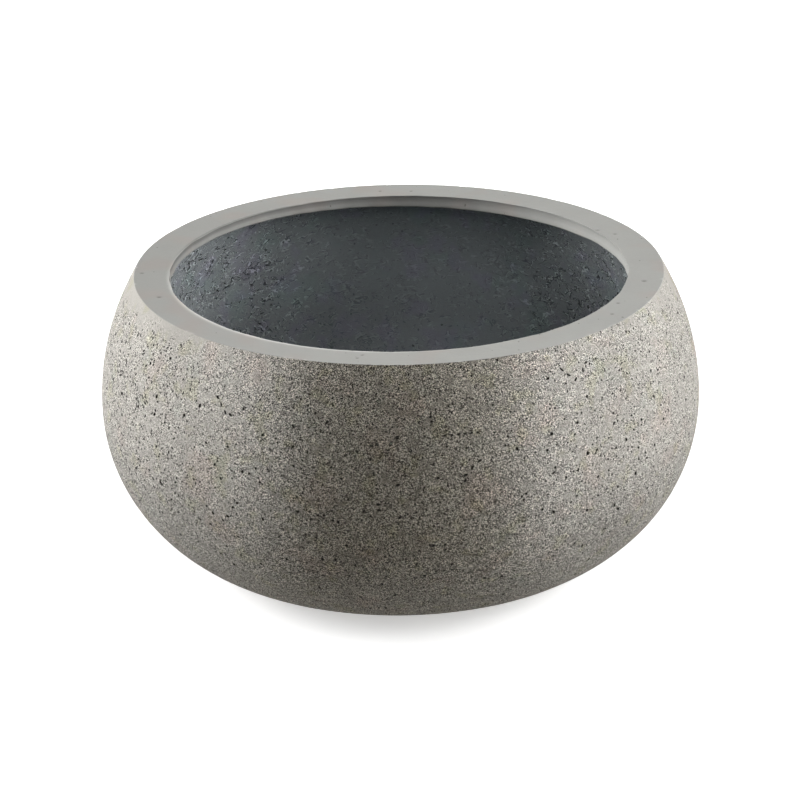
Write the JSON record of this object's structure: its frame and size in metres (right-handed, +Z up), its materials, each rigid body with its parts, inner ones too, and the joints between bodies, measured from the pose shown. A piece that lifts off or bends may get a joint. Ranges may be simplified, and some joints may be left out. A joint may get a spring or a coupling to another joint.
{
  "type": "concrete bowl planter",
  "caption": "Low round bowl planter of fibre-reinforced concrete with a flat turned-in rim, a dark lined inside and a drain closed by a stopper.",
  "frame": {"origin": "on the floor, on the bowl's axis, at the bottom of the foot pads", "axes": "+Z up along the bowl's axis, and +X through the middle of one foot pad"},
  "size_m": [0.5999, 0.6, 0.3],
  "materials": {
    "concrete_face": "rough speckled concrete with pits",
    "concrete_rim": "smooth trowelled concrete",
    "concrete_core": "raw fibre-reinforced concrete",
    "glass_fibre": "chopped glass-fibre mat soaked in mortar",
    "galvanised_wire": "galvanised",
    "dark_lining": "brushed slate-grey waterproof coat, satin",
    "black_plastic": "moulded, matte",
    "black_rubber": "moulded rubber",
    "pad_rubber": "moulded rubber"
  },
  "bodies": {
    "bowl": {"face_coat": "concrete_face", "fibre_mat": "glass_fibre", "bowl_shell": "concrete_core", "rim_ring": "concrete_rim", "rim_hoop": "galvanised_wire", "inner_lining": "dark_lining", "drain_sleeve": "black_plastic", "foot_pad_1": "pad_rubber", "foot_pad_2": "pad_rubber", "foot_pad_3": "pad_rubber", "foot_pad_4": "pad_rubber"},
    "stopper": {"drain_plug": "black_rubber"}
  },
  "joints": [
    {"name": "stopper_lift", "type": "slide", "parent": "bowl", "child": "stopper", "axis": [0, 0, 1], "range_m": [0, 0.3]}
  ]
}
